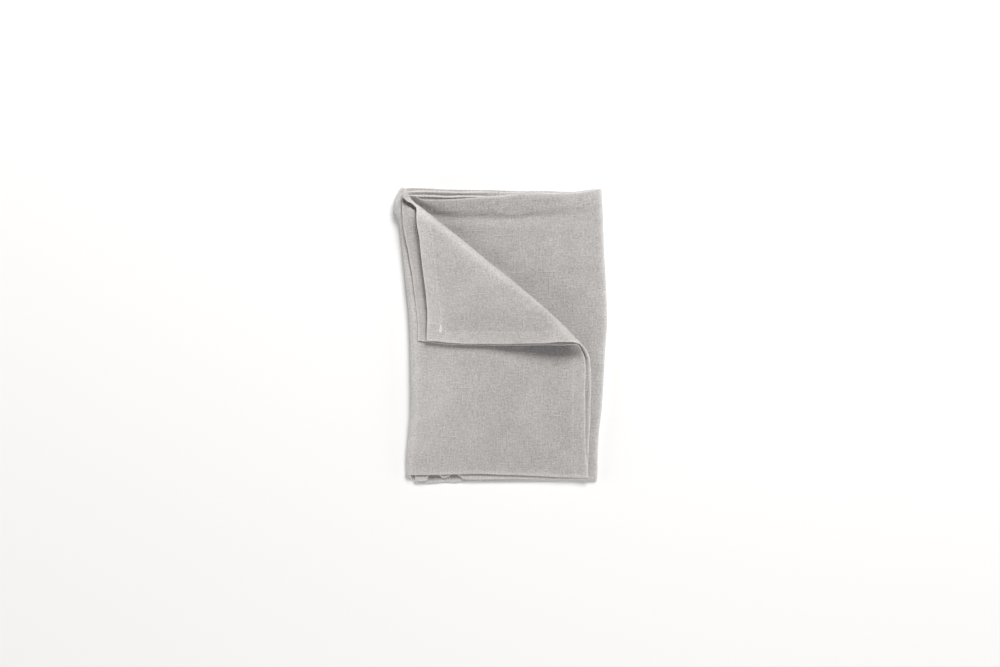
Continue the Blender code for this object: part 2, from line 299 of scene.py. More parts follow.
LID_HEM = (
    # y, x of P, x of Q
    (-112, 67.2, 67.2),
    (-98, 66.2, 67.4),
    (-87, 65.2, 67.9),
    (-71, 64.9, 68.7),
    (-45, 64.9, 69.4),
    (-20, 65.5, 68.9),
    (-12, 64.6, 67.2),
    (-5, 65.2, 66.1),
    (0, 66.6, 65.4),
    (6, 67.6, 65.0),
    (12, 68.0, 65.3),
    (18, 68.6, 66.3),
    (26, 69.4, 67.4),
    (40, 70.5, 68.2),
    (60, 70.6, 69.0),
    (80, 71.0, 69.6),
    (90, 71.0, 69.5),
    (98, 70.3, 68.2),
    (106, 67.5, 66.2),
    (112, 65.3, 65.2),
)


def along(rows, at, column):
    """A smooth curve through one column of a table in millimetres, read in metres."""
    table = np.array(rows, float) * MM
    x, y = table[:, 0], table[:, column]
    secant = np.diff(y) / np.diff(x)
    before, after = secant[:-1], secant[1:]
    same_way = before * after > 0
    mean = 2 * before * after / np.where(same_way, before + after, 1.0)
    slope = np.concatenate([secant[:1], np.where(same_way, mean, 0.0), secant[-1:]])
    at = np.clip(at, x[0], x[-1])
    i = np.clip(np.searchsorted(x, at) - 1, 0, len(x) - 2)
    width = x[i + 1] - x[i]
    t = (at - x[i]) / width
    start = (1 + 2 * t) * (1 - t) ** 2 * y[i] + t * (1 - t) ** 2 * width * slope[i]
    end = t * t * (3 - 2 * t) * y[i + 1] + t * t * (t - 1) * width * slope[i + 1]
    return start + end


def across(share, column):
    """One column of CLOTH_ENDS at a share of the cloth's width."""
    return along(CLOTH_ENDS, share * 100 * MM, column)


def smooth_step(value):
    """Goes softly from 0 to 1 as the value does, and stays there."""
    value = np.clip(value, 0.0, 1.0)
    return value * value * (3 - 2 * value)


def smooth_slope(value):
    """The slope of smooth_step."""
    value = np.clip(value, 0.0, 1.0)
    return 6 * value * (1 - value)


# %% [markdown]
# ## The long folds
# Each long fold is half a round bend. The left one goes round the two tucked sheets, so it is as
# high as the stack, about 8 mm, and it gapes 2 mm more at its far end, where the turned corner
# pulls it open. The right one only joins the base to the tucked panel.

# %% Bends of the long folds
LIFT_TOP = 2.2 * MM
LIFT_START_Y = 74 * MM
LIFT_END_Y = 104 * MM
LIFT_REACH = 26 * MM


def lift_at(y):
    """How far the left fold gapes at a place along it."""
    return LIFT_TOP * smooth_step((y - LIFT_START_Y) / (LIFT_END_Y - LIFT_START_Y))


def left_bend(y):
    """Centre x and radius of the left fold's bend, on the middle of its pair of sheets."""
    radius = (LID_Z + lift_at(y) - BASE_Z) / 2
    return along(FOLD_LINES, y, 1) + radius + FOLD_REACH, radius


def right_bend(y):
    """Centre x and radius of the right fold's bend."""
    radius = np.full_like(y, (TUCK_Z - BASE_Z) / 2)
    return along(FOLD_LINES, y, 2) - radius - FOLD_REACH, radius


def lid_height(x, y):
    """Mid height of the lid's pair of sheets above a point of the plan."""
    centre, _ = left_bend(y)
    return LID_Z + lift_at(y) * (1 - smooth_step((x - centre) / LIFT_REACH))


# %% [markdown]
# ## The turned corner
# The corner is turned over along a diagonal line. Linen doesn't crease sharply when it is only
# laid back, so it goes round in a roll: low at the left end, where the folds hold it, and open,
# about 14 mm high, at the hem. Past the roll the flap falls back onto the lid within 52 mm.
# At both ends the roll is round: its bend starts gently and tightens, which is what the ease
# power does. Between them the cloth lies flatter, so it turns fast at first and then slowly.

# %% Shape of the roll
ROLL_ORIGIN = (-67.4 * MM, 100.1 * MM)
ROLL_ANGLE = math.radians(-39.4)
ROLL_SHAPE = (
    # distance along the diagonal, length of cloth round the roll, outermost line of the roll
    (-30, 6.4, 27.0),
    (-16, 6.4, 11.6),
    (-10, 6.4, 5.0),
    (0, 7.6, 0.7),
    (12, 11.0, 1.0),
    (35, 12.4, 1.6),
    (70, 13.6, 1.9),
    (100, 15.6, 2.0),
    (146, 20.5, 0.8),
    (163, 23.0, -1.2),
    (190, 25.0, -3.4),
)
MOUTH_LENGTH = ROLL_SHAPE[-1][1] * MM
# Pairs of the share of the roll's cloth and the share of its half turn.
TURN_STEPS = 20
ROLL_EASE = 1.35
ROUND_TURN = [(i / TURN_STEPS, (i / TURN_STEPS) ** ROLL_EASE) for i in range(TURN_STEPS + 1)]
FLAT_TURN = [(0, 0), (0.12, 0.28), (0.25, 0.62), (0.35, 0.8), (0.6, 0.87), (0.85, 0.93), (1, 1)]
# Share of the round shape along the diagonal: (distance, share)
ROUNDNESS = [(-8, 1.0), (12, 0.0), (75, 0.0), (135, 1.0)]
ROLL_STEPS = 40
# The two sheets part on the roll, most at its open mouth, and nearly close again on the flap.
MOUTH_SPREAD = 0.25 * MM
FLAP_CLOSING = 0.7
# The flap beyond the roll: what the drape takes from its length, its lean, rest and fall.
FLAP_SHRINK = 0.90
FLAP_SHEAR = 0.32
FLAP_CLEARANCE = 0.3 * MM
FLAP_REST = 2 * SHEET_PITCH + FLAP_CLEARANCE
FLAP_FALL = 52 * MM
# P's layer of the flap settles on the lid, its hem a little less, and Q's hem stands off.
FLAP_SETTLING = 20 * MM
FLAP_P_DROP, FLAP_P_LIFT = 0.45 * MM, -0.2 * MM
FLAP_Q_LIFT = 0.9 * MM
# At the tight end the two layers part, and leave a deep dark gap that closes down the flap.
TIGHT_GAP = (
    # distance along the diagonal, lift of Q's hem above P's layer
    (-20, 0.0),
    (-6, 0.3),
    (2, 1.3),
    (12, 2.8),
    (30, 2.5),
    (50, 1.7),
    (75, 0.8),
    (100, 0.1),
)
# Beside that gap P's layer sinks in a short deep hollow, and presses the lid down under it.
HOLLOW_OUT = -2.7 * MM
HOLLOW_REACH = 1.4 * MM
HOLLOW_ENDS = (-9.5 * MM, 6.5 * MM)
HOLLOW_FADE = 4 * MM
HOLLOW_LID, HOLLOW_FLAP = 1.7 * MM, 2.9 * MM

roll_share = np.linspace(0, 1, ROLL_STEPS + 1)


def unit_roll(turns):
    """Turn, run and rise along a roll made of one unit of cloth, from a table of its turn."""
    turn = math.pi * np.interp(roll_share, *zip(*turns))
    middle = (turn[1:] + turn[:-1]) / 2
    run = np.append(0.0, np.cumsum(np.cos(middle))) / ROLL_STEPS
    rise = np.append(0.0, np.cumsum(np.sin(middle))) / ROLL_STEPS
    return np.array([turn, run, rise])


ROUND_ROLL, FLAT_ROLL = unit_roll(ROUND_TURN), unit_roll(FLAT_TURN)
MIXES = np.linspace(0, 1, TURN_STEPS + 1)
REACHES = [np.max(mix * ROUND_ROLL[1] + (1 - mix) * FLAT_ROLL[1]) for mix in MIXES]


def roundness(s):
    """Share of the round shape at a distance along the diagonal."""
    places, shares = zip(*ROUNDNESS)
    return smooth_step(np.interp(s / MM, places, shares))


def roll_part(s, share, row):
    """The turn (row 0), run (1) or rise (2) of the roll at a share of its cloth."""
    mix = roundness(s)
    round_part = np.interp(share, roll_share, ROUND_ROLL[row])
    return mix * round_part + (1 - mix) * np.interp(share, roll_share, FLAT_ROLL[row])


mouth_height = MOUTH_LENGTH * ROUND_ROLL[2, -1]
print(f"{MOUTH_LENGTH / MM:.0f} mm of cloth make a mouth {mouth_height / MM:.1f} mm high")


def roll_coordinates(x, y):
    """Distance along the diagonal and distance out from it."""
    cos, sin = math.cos(ROLL_ANGLE), math.sin(ROLL_ANGLE)
    dx, dy = x - ROLL_ORIGIN[0], y - ROLL_ORIGIN[1]
    return dx * cos + dy * sin, -dx * sin + dy * cos


def plan_of(s, out):
    """The point of the plan at a distance along the diagonal and a distance out from it."""
    cos, sin = math.cos(ROLL_ANGLE), math.sin(ROLL_ANGLE)
    return ROLL_ORIGIN[0] + s * cos - out * sin, ROLL_ORIGIN[1] + s * sin + out * cos


def roll_start(s):
    """Where the lid leaves the stack, measured out from the diagonal, and the roll's length."""
    length = along(ROLL_SHAPE, s, 1)
    reach = np.interp(roundness(s), MIXES, REACHES) * length
    return along(ROLL_SHAPE, s, 2) - FOLD_REACH - reach, length


def hollow_depth(s, out, side, over):
    """How deep a point sinks in the hollow. over is 0 on the lid and 1 past the roll's crest."""
    in_hollow = np.exp(-(((out - HOLLOW_OUT) / HOLLOW_REACH) ** 2))
    for inward in (s - HOLLOW_ENDS[0], HOLLOW_ENDS[1] - s):
        in_hollow *= smooth_step(inward / HOLLOW_FADE)
    flap_depth = np.where(side > 0, HOLLOW_FLAP, 0.0)
    return in_hollow * (HOLLOW_LID + (flap_depth - HOLLOW_LID) * over)


def turn_corner(x, y, offset, side, near_hem):
    """Takes flat points of the lid over the roll, and the flap beyond it back onto the lid.

    side is 1 on P and -1 on Q. near_hem is 1 at a hem's edge and 0 past the hem.
    """
    s, out = roll_coordinates(x, y)
    start, length = roll_start(s)
    past = np.maximum(out - start, 0.0)
    on_roll = np.minimum(past, length)
    on_flap = FLAP_SHRINK * (past - on_roll)
    share = on_roll / length
    run = roll_part(s, share, 1) * length
    rise = roll_part(s, share, 2) * length
    turn = roll_part(s, share, 0)
    fall = np.maximum(roll_part(s, 1.0, 2) * length - FLAP_REST, 0.0)
    fallen = on_flap / FLAP_FALL
    rise -= fall * smooth_step(fallen)
    turn += np.arctan(fall / FLAP_FALL * smooth_slope(fallen))
    settled = smooth_step(on_flap / FLAP_SETTLING)
    p_rise = settled * (FLAP_P_LIFT * near_hem - FLAP_P_DROP * (1 - near_hem))
    q_rise = (FLAP_Q_LIFT + along(TIGHT_GAP, s, 1)) * near_hem * smooth_step(share)
    rise += np.where(side > 0, p_rise, q_rise)
    over = smooth_step(2 * share)
    lift = np.where(side > 0, LID_P_LIFT, LID_Q_LIFT)
    offset = offset + lift * near_hem * (1 - over)
    parted = over * (1 - FLAP_CLOSING * smooth_step(fallen))
    offset = offset + side * MOUTH_SPREAD * parted * length / MOUTH_LENGTH
    cloth = on_roll + on_flap
    s = s - FLAP_SHEAR * cloth**2 / (cloth + length)
    out = np.where(past > 0, start + run - on_flap - offset * np.sin(turn), out)
    plan_x, plan_y = plan_of(s, out)
    rise -= hollow_depth(s, out, side, over)
    return plan_x, plan_y, lid_height(plan_x, plan_y) + rise + offset * np.cos(turn)


# %% [markdown]
# ## Folding
# One function takes any point of the flat cloth, with its height above or below the cloth's
# middle, to its folded place. The cloth, its stitches and its slubs all go through it, so they
# stay together, as sewing does when a napkin is folded. It folds first in half, which decides
# the layer and y, and then across the panels, which decides x and z.

# %% Pressed end and loose hems
# The near end of the stack is pressed flatter than the rest.
PRESSED_FROM_Y = -60 * MM
PRESSED_OVER = 50 * MM
PRESSED_SHARE = 0.38
# The lid's hems stand off the sheets beside them, most at their very edge.
HEM_LIFT_REACH = 9 * MM
LID_P_LIFT = 1.4 * MM
LID_Q_LIFT = 0.6 * MM
# The ridge along an edge, and where the far one fades, in shares of the cloth's width.
HEM_SWELL = 1.25 * MM
HEM_SWELL_PLACE = 1.3 * MM
HEM_SWELL_REACH = 1.1 * MM
TUCK_SWELL_STOP, TUCK_SWELL_FADE = 0.15, 0.05
BASE_SWELL_START, BASE_SWELL_RISE = 0.48, 0.1
BASE_SWELL_STOP, BASE_SWELL_FADE = 0.68, 0.02
LID_SIDE_SWELL = 0.7 * MM
LID_SIDE_FULL = 3.0 * MM
# The share of the left fold's bend from where the turned corner draws it along.
DRAWN_FROM = 0.5


def edge_distance(u, v):
    """Distance to the nearest edge of the flat cloth."""
    return np.minimum.reduce([u, CLOTH_WIDTH - u, v, CLOTH_LENGTH - v])


def hem_swell(u, v):
    """The far hems stand up in a soft round ridge along their very edge, where they show."""
    share = u / CLOTH_WIDTH
    at_edge = np.exp(-(((v - HEM_SWELL_PLACE) / HEM_SWELL_REACH) ** 2))
    on_tuck = smooth_step((TUCK_SWELL_STOP - share) / TUCK_SWELL_FADE)
    on_base = smooth_step((share - BASE_SWELL_START) / BASE_SWELL_RISE)
    on_base = on_base * smooth_step((BASE_SWELL_STOP - share) / BASE_SWELL_FADE)
    return HEM_SWELL * at_edge * (on_tuck + on_base)


def side_swell(u, v, y):
    """Q's side hem on the lid stands up in the same way where it sticks out past P's."""
    at_edge = np.exp(-(((CLOTH_WIDTH - u - HEM_SWELL_PLACE) / HEM_SWELL_REACH) ** 2))
    shown = (along(LID_HEM, y, 2) - along(LID_HEM, y, 1)) / LID_SIDE_FULL
    return np.where(v < Q_LENGTH, LID_SIDE_SWELL * at_edge * np.clip(shown, 0, 1), 0.0)


# %% The folding function
def sheet_position(v, width_share, depth):
    """Distance above the middle of the pair (P side up), the y of each point, and its side."""
    bend = np.clip((v - Q_LENGTH) / FIRST_BEND, 0, 1) * math.pi
    reach = HALF_PITCH + depth
    on_q = v < Q_LENGTH
    hem_y = np.where(on_q, across(width_share, 3), across(width_share, 2))
    up = np.where(on_q, 1 - v / Q_LENGTH, (v - P_START) / P_LENGTH)
    fold_middle = across(width_share, 1) + HALF_PITCH
    y = fold_middle + np.clip(up, 0, 1) * (hem_y - fold_middle) - reach * np.sin(bend)
    return -reach * np.cos(bend), y, -np.cos(bend)


def half_round(centre, radius, offset, angle):
    """The x and z of points of a bend, at an angle that is half pi at its top."""
    x = centre + (radius + offset) * np.cos(angle)
    return x, BASE_Z + radius + (radius + offset) * np.sin(angle)


def fold(u, v, depth):
    """Folded place of points of the flat cloth: u across the panels, v from Q's hem to P's."""
    offset, y, side = sheet_position(v, u / CLOTH_WIDTH, depth)
    left_x, left_radius = left_bend(y)
    right_x, right_radius = right_bend(y)
    x, z = np.zeros_like(u), np.zeros_like(u)
    ends = np.cumsum([0, TUCK_WIDTH, RIGHT_BEND, BASE_WIDTH, LEFT_BEND, LID_WIDTH])
    part = [(u - ends[i]) / (ends[i + 1] - ends[i]) for i in range(5)]

    tuck = u <= ends[1]
    tuck_end = along(TUCK_END, y, 1)
    x[tuck] = (tuck_end + part[0] * (right_x - tuck_end))[tuck]
    z[tuck] = (TUCK_Z + offset)[tuck]

    bend = (u > ends[1]) & (u < ends[2])
    bent_x, bent_z = half_round(right_x, right_radius, offset, math.pi * (0.5 - part[1]))
    x[bend], z[bend] = bent_x[bend], bent_z[bend]

    base = (u >= ends[2]) & (u <= ends[3])
    x[base] = (right_x + part[2] * (left_x - right_x))[base]
    z[base] = (BASE_Z - offset)[base]

    bend = (u > ends[3]) & (u < ends[4])
    bent_x, bent_z = half_round(left_x, left_radius, offset, math.pi * (1.5 - part[3]))
    x[bend], z[bend] = bent_x[bend], bent_z[bend]
    # The turned corner draws the upper end of the left fold along with it.
    near_hem = 1 - smooth_step(edge_distance(u, v) / HEM_LIFT_REACH)
    before = (x[bend], y[bend], lid_height(x[bend], y[bend]) + offset[bend])
    after = turn_corner(x[bend], y[bend], offset[bend], side[bend], near_hem[bend])
    drawn = smooth_step((part[3][bend] - DRAWN_FROM) / (1 - DRAWN_FROM))
    for place, start, end in zip((x, y, z), before, after):
        place[bend] += drawn * (end - start)

    lid = u >= ends[4]
    weight = (1 + side) / 2
    hem_x = along(LID_HEM, y, 1) * weight + along(LID_HEM, y, 2) * (1 - weight)
    flat_x = left_x + part[4] * (hem_x - left_x)
    swell = hem_swell(u, v)
    z[tuck | base] += swell[tuck | base]
    offset = offset + np.where(lid, side_swell(u, v, y), 0.0)
    x[lid], y[lid], z[lid] = turn_corner(
        flat_x[lid], y[lid], offset[lid], side[lid], near_hem[lid]
    )
    pressed = 1 - PRESSED_SHARE * smooth_step((PRESSED_FROM_Y - y) / PRESSED_OVER)
    return x, y, z * pressed


# %% [markdown]
# ## Creases and swells
# Washed linen is never flat. Soft swells lift the tucked panel where nothing presses on it, a
# groove runs across it near its hem, and a slow unevenness runs all over the faces that show.
# They only lift a sheet that shows away from its neighbour, never into it, so no layer cuts
# another. A crease of less than no height is a dip in the swells.

# %% Relief of the faces that show
SWELLS = (
    # middle x, middle y, reach along x, reach along y, height in mm
    (10, 80, 50, 7.0, 0.7),
    (50, 66, 26, 12, 0.7),
    (62, 28, 14, 26, 0.8),
    (30, 52, 22, 12, 0.5),
)
# The tucked panel's hem lies on a ledge, which ends in a sharp groove.
LEDGE = (
    # x, y of the groove, height of the ledge, width of its slope
    (-66, 91.5, 3.4, 11),
    (-50, 90.2, 3.4, 9),
    (-39, 89.2, 3.2, 8),
    (-23.5, 88.8, 3.0, 6.5),
    (-8, 88.8, 2.8, 6),
    (7.3, 87.6, 2.5, 4.5),
    (22.7, 89.6, 2.3, 4.2),
    (38, 90.2, 2.2, 6),
    (54, 91.5, 1.2, 7),
    (72, 94.0, 0.0, 8),
)
ROLL_CREST = ((-67, 97), (-62.6, 93.3), (-45.6, 79.4), (-22.4, 60.3), (-3, 44.4), (12, 32))
CREASES = (
    # panel, half width and height in mm, and the places that it runs through
    ("tuck", 3.6, 0.5, ((-48, 83.0), (-28, 82.2), (-6, 82.2), (16, 82.6), (42, 85.5))),
    ("tuck", 2.4, 0.4, ((18, 103.5), (34, 103.0), (48, 104))),
    ("tuck", 2.2, -0.35, ((22, 100.5), (34, 100.0), (46, 100.5))),
    ("tuck", 3.5, -0.3, ((6, 76), (30, 72), (52, 74))),
    ("lid", 4.0, 0.35, ((-52, -20), (-54, -60), (-53, -104))),
    ("lid", 5.0, -0.3, ((10, -40), (26, -70), (30, -104))),
    ("flap", 3.0, 1.2, ROLL_CREST),
    ("flap", 3.0, 0.4, ((-47, 60), (-46, 20), (-45, -3))),
    ("flap", 5.0, -0.35, ((-26, 66), (-14, 44), (6, 22))),
)
# A crease fades in and out over this share of its length.
CREASE_END = 0.15
# The tucked panel rises to this height away from the roll, which presses it down beside it.
RISE_FROM_ROLL = 0.8 * MM
RISE_REACH = 16 * MM
# Relief fades out where a panel goes under the roll, round a fold or under the flap.
TUCK_FADE_AT_ROLL, TUCK_FADE_AT_FOLD = 9 * MM, 8 * MM
LID_FADE_AT_ROLL, LID_FADE_AT_FOLD = 12 * MM, 6 * MM
LID_OPEN_BELOW_Y, LID_OPEN_OVER = -12 * MM, 8 * MM
UNEVEN_HEIGHT = 0.35 * MM
UNEVEN_LENGTH = 30 * MM
UNEVEN_NOISE_ROW = 0.5


def distance_to_line(x, y, places):
    """Distance to a broken line in millimetres, and the share of the way along it."""
    nearest, share = np.full_like(x, np.inf), np.zeros_like(x)
    pieces = list(zip(places[:-1], places[1:]))
    for k, ((x1, y1), (x2, y2)) in enumerate(pieces):
        length = math.hypot(x2 - x1, y2 - y1)
        t = np.clip(((x - x1) * (x2 - x1) + (y - y1) * (y2 - y1)) / length**2, 0, 1)
        far = np.hypot(x - x1 - t * (x2 - x1), y - y1 - t * (y2 - y1))
        share = np.where(far < nearest, (k + t) / len(pieces), share)
        nearest = np.minimum(far, nearest)
    return nearest, share


def unevenness(u, v):
    """Slow noise over the flat cloth, from 0 to 1."""
    places = zip(u / UNEVEN_LENGTH, v / UNEVEN_LENGTH)
    values = np.array([noise.noise(Vector((a, b, UNEVEN_NOISE_ROW))) for a, b in places])
    return np.clip(0.5 + values, 0, 1)


def uncovered(u, v, x, y, z):
    """Each panel's share of relief at points of the flat cloth that fold to x, y and z."""
    s, out = roll_coordinates(x, y)
    beyond = out - roll_start(s)[0]
    tuck = smooth_step(beyond / TUCK_FADE_AT_ROLL)
    tuck *= smooth_step((TUCK_WIDTH - u) / TUCK_FADE_AT_FOLD)
    lid = smooth_step((LID_OPEN_BELOW_Y - y) / LID_OPEN_OVER)
    lid *= smooth_step((u - LID_START) / LID_FADE_AT_FOLD)
    lid *= smooth_step(-beyond / LID_FADE_AT_ROLL)
    on_p, on_lid = v > P_START, u > LID_START
    turned = z > lid_height(x, y) + SHEET_PITCH
    masks = {
        "tuck": np.where(on_p & (u < TUCK_WIDTH), tuck, 0.0),
        "lid": np.where(on_p & on_lid, lid, 0.0),
        "flap": np.where((v < Q_LENGTH) & on_lid & turned, 1.0, 0.0),
    }
    return masks, beyond


def relief(u, v, x, y, z):
    """How far a sheet is lifted off its neighbour at points that fold to x, y and z."""
    x_mm, y_mm = x / MM, y / MM
    masks, beyond = uncovered(u, v, x, y, z)
    lifted = np.zeros_like(x)
    for middle_x, middle_y, reach_x, reach_y, height in SWELLS:
        far = ((x_mm - middle_x) / reach_x) ** 2 + ((y_mm - middle_y) / reach_y) ** 2
        lifted += height * MM * np.exp(-far) * masks["tuck"]
    lifted += RISE_FROM_ROLL * smooth_step(beyond / RISE_REACH) * masks["tuck"]
    up_slope = np.clip((y - along(LEDGE, x, 1)) / along(LEDGE, x, 3), 0, 1)
    lifted += along(LEDGE, x, 2) * np.sin(up_slope * math.pi / 2) * masks["tuck"]
    for panel, half_width, height, places in CREASES:
        far, share = distance_to_line(x_mm, y_mm, places)
        ends = smooth_step(share / CREASE_END) * smooth_step((1 - share) / CREASE_END)
        lifted += height * MM * np.exp(-((far / half_width) ** 2)) * ends * masks[panel]
    free = np.maximum.reduce(list(masks.values()))
    return np.maximum(lifted, 0.0) + UNEVEN_HEIGHT * unevenness(u, v) * free


# %% [markdown]
# ## The flat cloth
# The cloth starts as a grid whose rows and columns crowd together where it bends, at the hems
# and at the creases, and stay wide on the flat base that nobody sees. The lid is then cut along
# lines that fan out from the tight end of the roll, so the roll is smooth all the way. Last it
# gets its thickness, thin in the body and full in the hem, with rounded edges.

# %% A grid with crowded rows and columns
EDGE_LINES = (0.12 * MM, 0.3 * MM, EDGE_ROUND)
HEM_ZONE = 12.5 * MM
CREASE_ZONE = 20 * MM
CORNER_ZONE = 20 * MM


def lines_over(*stretches):
    """Grid lines over neighbouring stretches, each given as its length and its cells."""
    places, start = [0.0], 0.0
    for length, cells in stretches:
        places += [start + length * (i + 1) / cells for i in range(cells)]
        start += length
    end = places[-1]
    places += [*EDGE_LINES, *(end - line for line in EDGE_LINES)]
    return sorted(places)


columns = lines_over(
    (HEM_ZONE, 10),
    (TUCK_WIDTH - HEM_ZONE, 46),
    (RIGHT_BEND, 8),
    (BASE_WIDTH, 30),
    (LEFT_BEND, 10),
    (CORNER_ZONE, 18),
    (LID_WIDTH - HEM_ZONE - CORNER_ZONE, 42),
    (HEM_ZONE, 10),
)
half_rows = ((HEM_ZONE / 2, 11), (HEM_ZONE / 2, 5), (CREASE_ZONE, 14))
rows = lines_over(
    *half_rows,
    (Q_LENGTH - HEM_ZONE - CREASE_ZONE, 72),
    (FIRST_BEND, 6),
    (P_LENGTH - HEM_ZONE - CREASE_ZONE, 74),
    *reversed(half_rows),
)
# The grid is made one unit wide, so a corner's place tells its column and its row.
cloth = bmesh.new()
bmesh.ops.create_grid(cloth, x_segments=len(columns) - 1, y_segments=len(rows) - 1, size=0.5)
for corner in cloth.verts:
    i = round((corner.co.x + 0.5) * (len(columns) - 1))
    j = round((corner.co.y + 0.5) * (len(rows) - 1))
    corner.co = (columns[i], rows[j], 0)
print(f"{len(columns)} columns, {len(rows)} rows, {len(cloth.faces)} faces")


# %% Cuts along the roll
CUT_COUNT = 15
ROLL_CUTS = [cut / (CUT_COUNT - 1) for cut in range(CUT_COUNT)]
CUT_ENDS = (5 * MM, 170 * MM)
CUT_SNAP = 0.02 * MM


def lid_to_cloth(x, y, half):
    """The flat cloth's u and v of a point of the untouched lid, on sheet P (1) or Q (-1)."""
    x, y = np.array([x]), np.array([y])
    left_x, _ = left_bend(y)
    hem_x = along(LID_HEM, y, 1 if half > 0 else 2)
    u = CLOTH_WIDTH - LID_WIDTH * (hem_x - x) / (hem_x - left_x)
    low = across(u / CLOTH_WIDTH, 1) + HALF_PITCH
    high = across(u / CLOTH_WIDTH, 2 if half > 0 else 3)
    up = (y - low) / (high - low)
    v = P_START + up * P_LENGTH if half > 0 else Q_LENGTH * (1 - up)
    return float(u[0]), float(v[0])


for half, low, high in ((1, P_START, CLOTH_LENGTH), (-1, 0.0, Q_LENGTH)):
    for share in ROLL_CUTS:
        ends = []
        for s in CUT_ENDS:
            start, length = roll_start(np.array([s]))
            x, y = plan_of(s, float(start[0] + share * length[0]))
            ends.append(lid_to_cloth(x, y, half))
        (u1, v1), (u2, v2) = ends
        faces = []
        for face in cloth.faces:
            middle = face.calc_center_median()
            if middle.x > LID_START and low < middle.y < high:
                faces.append(face)
        edges = {edge for face in faces for edge in face.edges}
        corners = {corner for face in faces for corner in face.verts}
        bmesh.ops.bisect_plane(
            cloth,
            geom=[*faces, *edges, *corners],
            dist=CUT_SNAP,
            plane_co=(u1, v1, 0),
            plane_no=(v2 - v1, u1 - u2, 0),
        )
print(len(cloth.faces), "faces after the cuts")

# %% [markdown]
# ## Thickness and hem
# A hem is cloth turned over twice, so within 10 mm of each edge the sheet is about twice as
# thick, all of it on the inner face. The row of sewing at its inner edge draws the cloth in a
# little. The edge itself is round, because it is a fold.

# %% Thickness, hem and edges
SEAM_DIP = 0.14 * MM
SEAM_HALF_WIDTH = 0.9 * MM
OUTER_HEM_RISE = 0.12 * MM
EDGE_SHARE = 0.45
PRESSED_HEM = 3.4 * MM
PRESSED_THIN = 0.5
WOBBLE = 0.35 * MM
WOBBLE_LENGTH = 17 * MM
WOBBLE_REACH = 14 * MM
SIDE_NOISE_ROW, END_NOISE_ROW = 3.7, 9.1

raised = bmesh.ops.extrude_face_region(cloth, geom=list(cloth.faces), use_keep_orig=True)
top = {item for item in raised["geom"] if isinstance(item, bmesh.types.BMVert)}
cloth.verts.ensure_lookup_table()
u = np.array([corner.co.x for corner in cloth.verts])
v = np.array([corner.co.y for corner in cloth.verts])
is_outer = np.array([corner in top for corner in cloth.verts])


def face_depth(u, v, is_outer):
    """Depth of the outer or inner face of the cloth, from the middle of its layer."""
    to_edge = edge_distance(u, v)
    hem = 1 - smooth_step((to_edge - HEM_WIDTH) / HEM_STEP)
    seam = SEAM_DIP * np.exp(-(((to_edge - HEM_WIDTH) / SEAM_HALF_WIDTH) ** 2))
    under_base = (v > P_START) & (u > TUCK_WIDTH) & (u < LID_START)
    outer = OUTER_FACE + np.where(under_base, 0.0, OUTER_HEM_RISE * hem - seam)
    inner = OUTER_FACE - BODY_THICKNESS - (HEM_THICKNESS - BODY_THICKNESS) * hem + seam / 2
    # P's far hem lies on the lid after the corner is turned, and is pressed to a thin edge.
    flap_hem = (v > CLOTH_LENGTH - PRESSED_HEM) & (u > LID_START)
    pressed = 1 - smooth_step((CLOTH_LENGTH - v) / PRESSED_HEM)
    inner = inner + np.where(flap_hem, (outer - inner) * PRESSED_THIN * pressed, 0.0)
    middle = (outer + inner) / 2
    in_edge = np.clip(1 - to_edge / EDGE_ROUND, 0, 1)
    round_share = EDGE_SHARE + (1 - EDGE_SHARE) * np.sqrt(1 - in_edge**2)
    return middle + (np.where(is_outer, outer, inner) - middle) * round_share


def hem_shift(along_hem, across_cloth, cloth_size, noise_row):
    """How far points are shifted towards or away from the nearer of two opposite hems."""
    shift = []
    for place, side in zip(along_hem / WOBBLE_LENGTH, across_cloth / cloth_size):
        shift.append(noise.noise(Vector((place, noise_row, round(side)))))
    near = np.exp(-np.minimum(across_cloth, cloth_size - across_cloth) / WOBBLE_REACH)
    return WOBBLE * near * np.array(shift)


def wobbled(u, v):
    """The hems run a little unevenly: they shift along the cloth by slow noise."""
    new_u = u + hem_shift(v, u, CLOTH_WIDTH, SIDE_NOISE_ROW)
    return new_u, v + hem_shift(u, v, CLOTH_LENGTH, END_NOISE_ROW)


def fold_all(u, v, depth):
    """Folds points of the flat cloth, with its creases and its uneven hems, into the frame."""
    new_u, new_v = wobbled(u, v)
    lifted = relief(u, v, *fold(new_u, new_v, depth))
    x, y, z = fold(new_u, new_v, depth + lifted)
    return np.column_stack([x - STACK_MIDDLE[0], y - STACK_MIDDLE[1], z])


places = fold_all(u, v, face_depth(u, v, is_outer))
print("folded box in mm:", (places.min(axis=0) / MM).round(1), (places.max(axis=0) / MM).round(1))

# %% [markdown]
# ## The folded cloth as a piece
# Each corner keeps its flat place as a UV map, in metres, so the weave follows the threads round
# every fold. Three attributes say how pale a place is: the hem is three layers thick; edges and
# crests are worn, and that paleness also serves as a painted highlight on the rims; and some
# patches carry painted light or painted shade, where the stack leans to the lamp or a groove lies
# in shade.

# %% The piece
for corner, place in zip(cloth.verts, places):
    corner.co = place
bmesh.ops.recalc_face_normals(cloth, faces=list(cloth.faces))
linen_mesh = bpy.data.meshes.new("folded_linen")
cloth.to_mesh(linen_mesh)
cloth.free()

# %% Wear, painted highlights and painted shade
# Reaches of the paleness at edges and fold crests: partly wear, partly a painted rim highlight.
EDGE_WEAR_AND_HIGHLIGHT_REACH = 0.8 * MM
FOLD_WEAR_AND_HIGHLIGHT_REACH = 1.3 * MM
LEFT_WEAR_AND_HIGHLIGHT_REACH = 2.0 * MM
